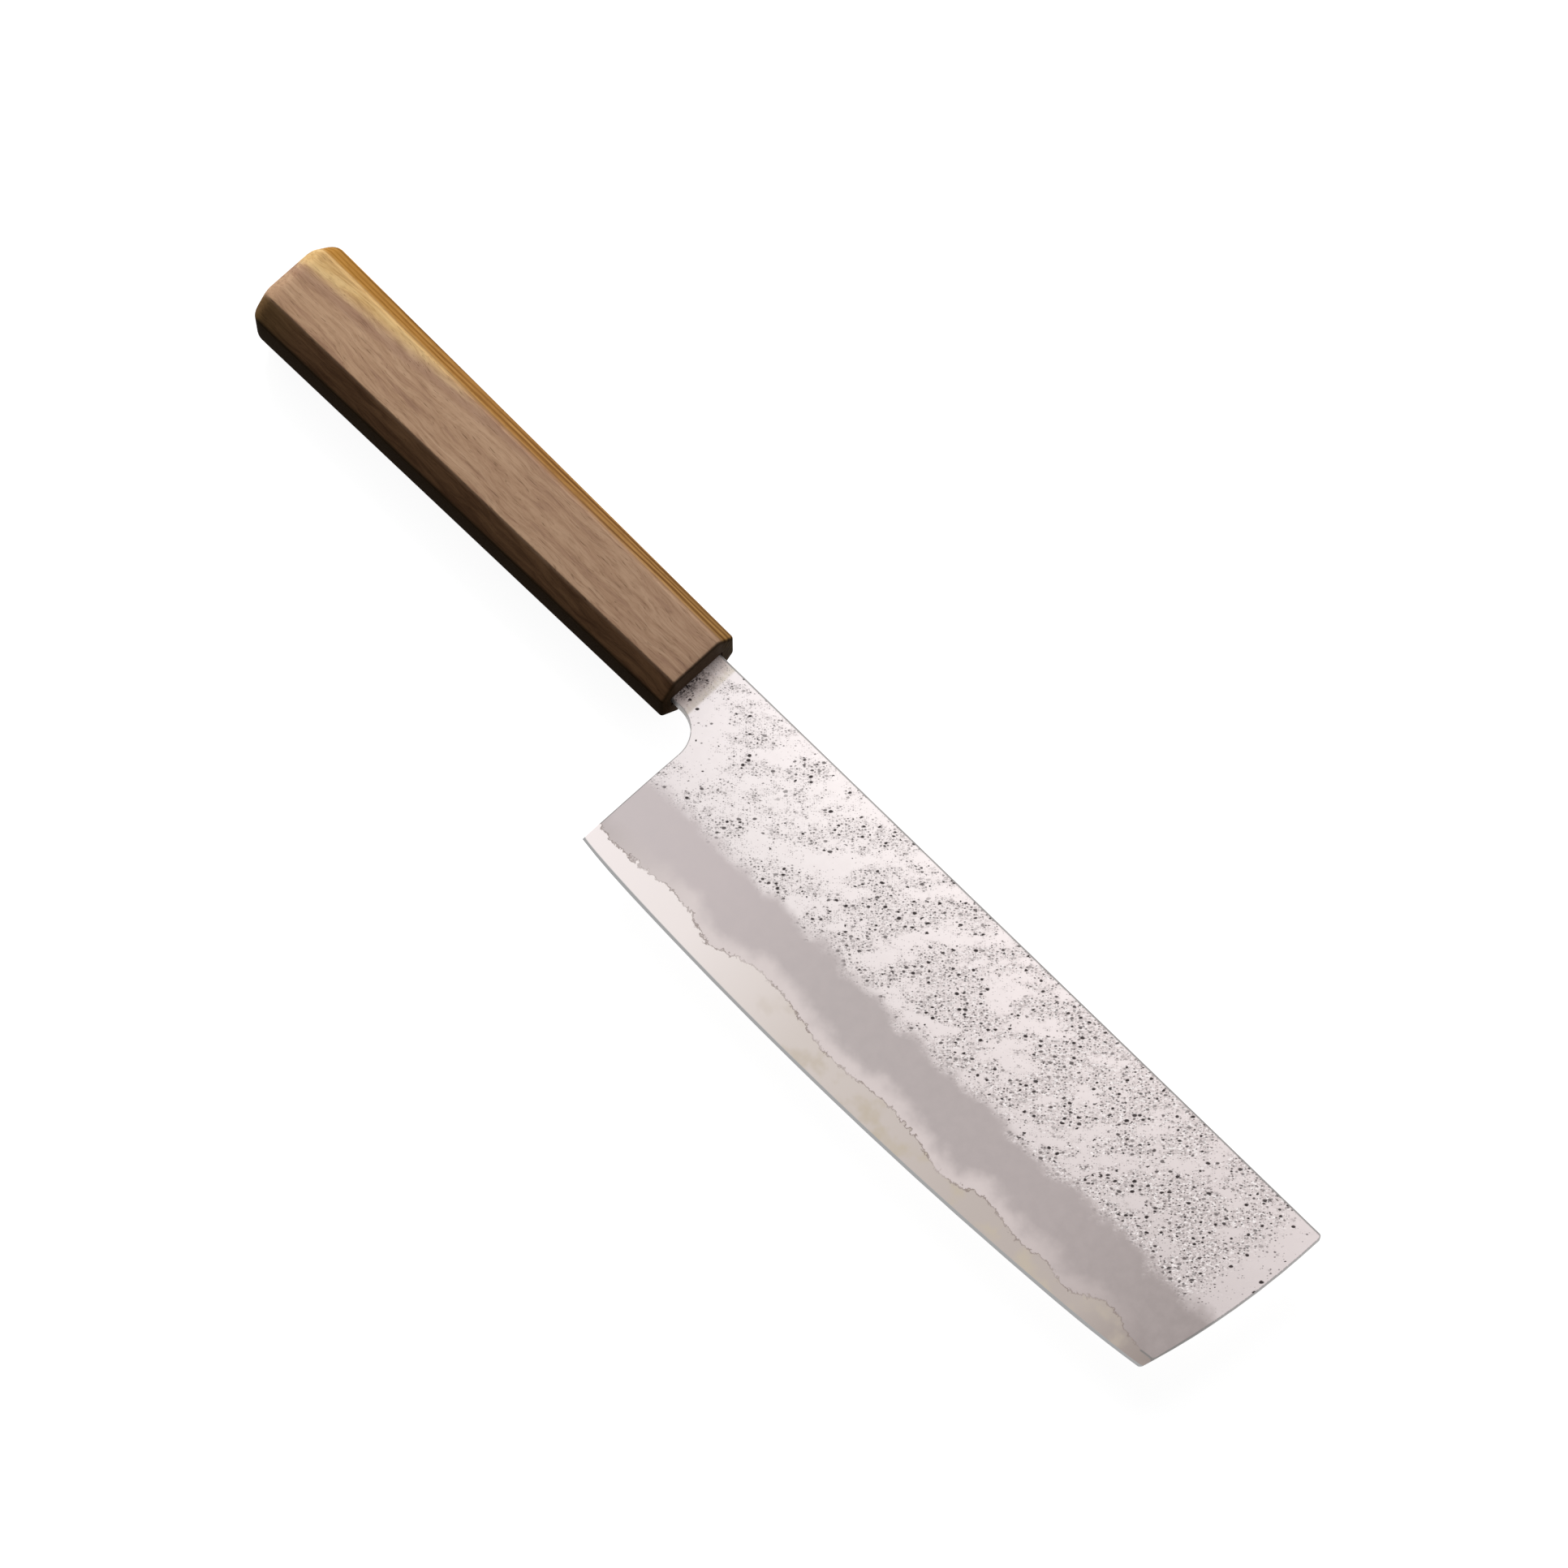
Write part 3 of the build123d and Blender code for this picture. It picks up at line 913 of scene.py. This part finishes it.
def wood_figure(wiring, given):
    """Straight-grained hardwood: taupe heart, a golden streak of sapwood, fibres and pores."""
    x, drop, off = wiring.split(given["Place"])
    up = wiring.calc("SUBTRACT", handle_drop, drop)
    taper = (front_size[0] - butt_size[0]) / 2 / handle_length
    tall = wiring.calc("MULTIPLY_ADD", x, taper, front_size[0] / 2)
    share = wiring.calc("DIVIDE", up, tall)
    buttward = wiring.calc("DIVIDE", x, -handle_length)
    place = wiring.join(x, up, off)

    # fibres sway a little on their way along the handle
    sway = wiring.noise(wiring.vector("MULTIPLY", place, (0.030, 0.10, 0.10)), 1.0, 3.0, 0.55)
    swayed = wiring.calc("MULTIPLY_ADD", sway, 7.0, up)
    swayed = wiring.calc("MULTIPLY_ADD", x, 0.022, swayed)
    depth = wiring.calc("MULTIPLY_ADD", sway, 4.0, off)

    def grain(along, high, deep, *rest):
        """Noise drawn out along the swaying fibres."""
        drawn = wiring.join(
            wiring.times(x, along), wiring.times(swayed, high), wiring.times(depth, deep))
        return wiring.noise(drawn, 1.0, *rest)

    figure = grain(0.055, 0.62, 0.5, 5.0, 0.66, 0.5)
    fibres = grain(0.19, 2.3, 2.3, 3.0, 0.7)
    pores = wiring.step(grain(0.34, 5.2, 5.2, 1.0, 0.5), 0.64, 0.76)

    # rings cut square on the upper chamfer show as fine even lines
    ring_depth = wiring.calc("MULTIPLY_ADD", up, -2.7, wiring.times(off, 2.7))
    ring_place = wiring.vector("MULTIPLY", place, (0.012, 0.22, 0.22))
    ring_sway = wiring.noise(ring_place, 1.0, 3.0, 0.6)
    ring_depth = wiring.calc("MULTIPLY_ADD", x, 0.04, ring_depth)
    ring_depth = wiring.calc("MULTIPLY_ADD", ring_sway, 12.0, ring_depth)
    rings = wiring.calc("SINE", ring_depth)
    ring_strength = wiring.step(wiring.noise(ring_place, 2.3, 2.0, 0.5), 0.38, 0.62, 0.35, 1.0)

    heart = wiring.ramp(wiring.step(figure, 0.26, 0.72), [
        (0.0, 152, 119, 98), (0.42, 171, 138, 111), (1.0, 187, 155, 127)])
    # painted light: the heart brighter from the front towards the butt
    shade = wiring.ramp(buttward, [(0.0, 234, 234, 238), (1.0, 255, 255, 253)])
    heart = wiring.mix(1.0, heart, shade, "MULTIPLY")

    # sapwood runs along the spine's side and onto the broad face near the butt
    border = wiring.calc("MULTIPLY_ADD", x, -0.098, up)
    border = wiring.waver(border, figure, 3.4)
    sap = wiring.step(border, 13.9, 17.3)
    seam = wiring.times(
        wiring.step(border, 11.4, 13.2), wiring.step(border, 13.4, 15.4, 1.0, 0.0))
    heart = wiring.mix(wiring.times(seam, 0.4), heart, srgb(134, 100, 86))
    cream = wiring.ramp(wiring.step(figure, 0.3, 0.7), [
        (0.0, 188, 150, 98), (0.5, 204, 169, 116), (1.0, 214, 183, 132)])
    colour = wiring.mix(sap, heart, cream)

    # the upper chamfer turns golden brown, the lower facets stay dark
    golden = wiring.ramp(buttward, [
        (0.0, 121, 87, 46), (0.25, 135, 95, 53), (0.65, 145, 100, 47),
        (1.0, 161, 113, 45)])
    late = wiring.times(wiring.step(rings, 0.1, 0.95, 0.0, 0.68), ring_strength)
    early = wiring.times(wiring.step(rings, 0.1, -0.8, 0.0, 0.5), ring_strength)
    golden = wiring.mix(late, golden, srgb(84, 50, 16))
    golden = wiring.mix(early, golden, srgb(188, 146, 86))
    chamfer = wiring.step(share, 0.60, 0.76)
    colour = wiring.mix(chamfer, colour, golden)
    low = wiring.step(share, -0.58, -0.68, 0.0, 0.85)
    umber = wiring.ramp(
        wiring.step(figure, 0.3, 0.7), [(0.0, 78, 48, 26), (1.0, 124, 88, 56)])
    olive = wiring.times(
        wiring.step(buttward, 0.86, 0.98), wiring.step(sway, 0.4, 0.6, 0.2, 0.6))
    umber = wiring.mix(olive, umber, srgb(106, 84, 38))
    colour = wiring.mix(low, colour, umber)
    # the belly turns near black: mostly painted shade, partly darker wood
    colour = wiring.mix(wiring.step(share, -0.93, -0.985, 0.0, 0.95), colour, srgb(28, 22, 15))

    # fibres and pores, worn long edges, and the dark end grain of the front, darkened further by
    # painted shade
    fibre_dark = wiring.mix(1.0, colour, srgb(196, 186, 178), "MULTIPLY")
    colour = wiring.mix(wiring.step(fibres, 0.42, 0.75, 0.0, 0.5), colour, fibre_dark)
    pore_dark = wiring.mix(1.0, colour, srgb(160, 146, 136), "MULTIPLY")
    colour = wiring.mix(wiring.times(pores, 0.6), colour, pore_dark)
    colour = wiring.mix(wiring.times(given["Eased"], 0.08), colour, srgb(190, 156, 120))
    # the front's end grain, darkened with painted shade
    front = wiring.step(x, -0.75, -0.12)
    colour = wiring.mix(wiring.times(front, 0.85), colour, srgb(36, 27, 14))
    rough = wiring.calc("MULTIPLY_ADD", fibres, 0.14, wiring.step(share, -0.5, -0.95, 0.6, 0.86))
    relief = wiring.calc("MULTIPLY_ADD", pores, -0.03, wiring.times(fibres, 0.015))
    return {"Colour": colour, "Roughness": rough, "Relief": relief}


wood_group = shader_group(
    "wood_figure", [("Place", VECTOR, None), ("Eased", FLOAT, 0.0)],
    [("Colour", COLOUR), ("Roughness", FLOAT), ("Relief", FLOAT)], wood_figure)


def oiled_wood(name):
    """Sanded hardwood with an oiled, nearly matt surface."""
    material, wiring = new_material(name)
    made = wiring.put("ShaderNodeGroup", {
        "Place": shaded_place(wiring), "Eased": wiring.attribute("eased"),
    }, node_tree=wood_group).outputs
    close_material(
        wiring, made["Colour"], made["Roughness"], made["Relief"], MM, 0.8,
        {"Specular IOR Level": 0.02})
    return material


def cured_resin(name, dark, pale, roughness):
    """Resin or sealant, mottled where it set."""
    material, wiring = new_material(name)
    mottle = wiring.noise(shaded_place(wiring), 1.4, 4.0, 0.6)
    colour = wiring.mix(wiring.step(mottle, 0.35, 0.7), dark, pale)
    rough = wiring.calc("MULTIPLY_ADD", mottle, 0.2, roughness)
    close_material(wiring, colour, rough, mottle, 0.1 * MM, 0.7)
    return material


# The knife

cladding_steel = steel("cladding_steel")
core_steel = steel("core_steel")
forging = forging_tree()
lines = {side: forge_line(side) for side in (1, -1)}
for name, node, side in (("right_side", "right_cladding", 1), ("left_side", "left_cladding", -1)):
    steel_piece(name, node, (side,), lines, side_spacing, forging, cladding_steel)
steel_piece("hard_core", "core_steel", (1, -1), lines, edge_spacing, None, core_steel)

handle = new_piece("octagonal_handle", handle_mesh("octagonal_handle"))
handle.data.materials.append(oiled_wood("oiled_wood"))
settle(handle, "handle_body")

for node, material in (
    ("tang_bedding", cured_resin("tang_resin", srgb(118, 92, 60), srgb(146, 118, 82), 0.45)),
    ("mouth_seal", cured_resin("mouth_sealant", srgb(22, 19, 16), srgb(44, 37, 30), 0.6)),
):
    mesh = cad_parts[node].data
    mesh.materials.clear()
    mesh.materials.append(material)


# Stage, light and camera

def seen_or_mirrored(wiring):
    """1 for a ray from the camera or off a glossy or clear surface, otherwise 0."""
    path = wiring.put("ShaderNodeLightPath").outputs
    return wiring.highest(
        path["Is Camera Ray"], path["Is Glossy Ray"], path["Is Transmission Ray"])


def pale_floor():
    """A floor just under the knife, white to the camera and grey to the light."""
    floor = bpy.data.meshes.new("floor")
    reach, level = 6.0, -0.0001
    corners = [(x * reach, y * reach, level) for x, y in ((-1, -1), (1, -1), (1, 1), (-1, 1))]
    floor.from_pydata(corners, [], [(0, 1, 2, 3)])
    piece = new_piece("floor", floor)
    material, wiring = new_material("pale_floor")
    matt = wiring.put("ShaderNodeBsdfDiffuse", {"Color": (0.25, 0.25, 0.25, 1)})
    shine = wiring.times(seen_or_mirrored(wiring), 0.94)
    glow = wiring.put("ShaderNodeEmission", {"Color": (1, 1, 1, 1), "Strength": shine})
    both = wiring.put("ShaderNodeAddShader", {0: matt.outputs[0], 1: glow.outputs[0]})
    wiring.put("ShaderNodeOutputMaterial", {0: both.outputs[0]})
    floor.materials.append(material)


def studio_world():
    """White where it is seen or mirrored, and a dim even light for matt surfaces."""
    world = bpy.data.worlds.new("studio")
    bpy.context.scene.world = world
    world.use_nodes = True
    world.node_tree.nodes.clear()
    wiring = Wiring(world.node_tree)
    strength = wiring.highest(seen_or_mirrored(wiring), 0.13)
    light = wiring.put("ShaderNodeBackground", {"Color": (1, 1, 1, 1), "Strength": strength})
    wiring.put("ShaderNodeOutputWorld", {0: light.outputs[0]})


def softbox(name, place, size, watts, mirrored):
    """A rectangular lamp that points at the knife's middle."""
    lamp = bpy.data.lights.new(name, "AREA")
    lamp.shape = "RECTANGLE"
    lamp.size, lamp.size_y = size
    lamp.energy = watts
    obj = bpy.data.objects.new(name, lamp)
    bpy.context.scene.collection.objects.link(obj)
    obj.visible_glossy = mirrored
    obj.location = place
    obj.rotation_euler = (-Vector(place)).to_track_quat("-Z", "Y").to_euler()


def camera():
    """Looks down on the blade's right face from the edge's side, tip nearest."""
    azimuth, elevation = math.radians(45.75), math.radians(70.5)
    view = bpy.data.cameras.new("camera")
    view.sensor_width = 36.0
    view.lens = 170.7
    view.clip_start, view.clip_end = 0.05, 50.0
    obj = bpy.data.objects.new("camera", view)
    bpy.context.scene.collection.objects.link(obj)
    back = Vector((
        math.sin(azimuth) * math.cos(elevation), -math.cos(azimuth) * math.cos(elevation),
        math.sin(elevation)))
    obj.location = (0.38478, -0.35755, 1.50886)
    obj.rotation_mode = "QUATERNION"
    obj.rotation_quaternion = (-back).to_track_quat("-Z", "Y")
    bpy.context.scene.camera = obj


pale_floor()
studio_world()
# the steel mirrors only the weak sheen lamp, or it would burn out to white
wide_place, wide_size = (-0.917, 0.757, 1.07), (1.7, 1.2)
softbox("key", (-0.92, 0.76, 0.84), (0.5, 0.4), 19.2, mirrored=False)
softbox("fill", wide_place, wide_size, 11.2, mirrored=False)
softbox("sheen", wide_place, wide_size, 2.2, mirrored=True)
camera()
bpy.context.scene.view_settings.view_transform = "Standard"
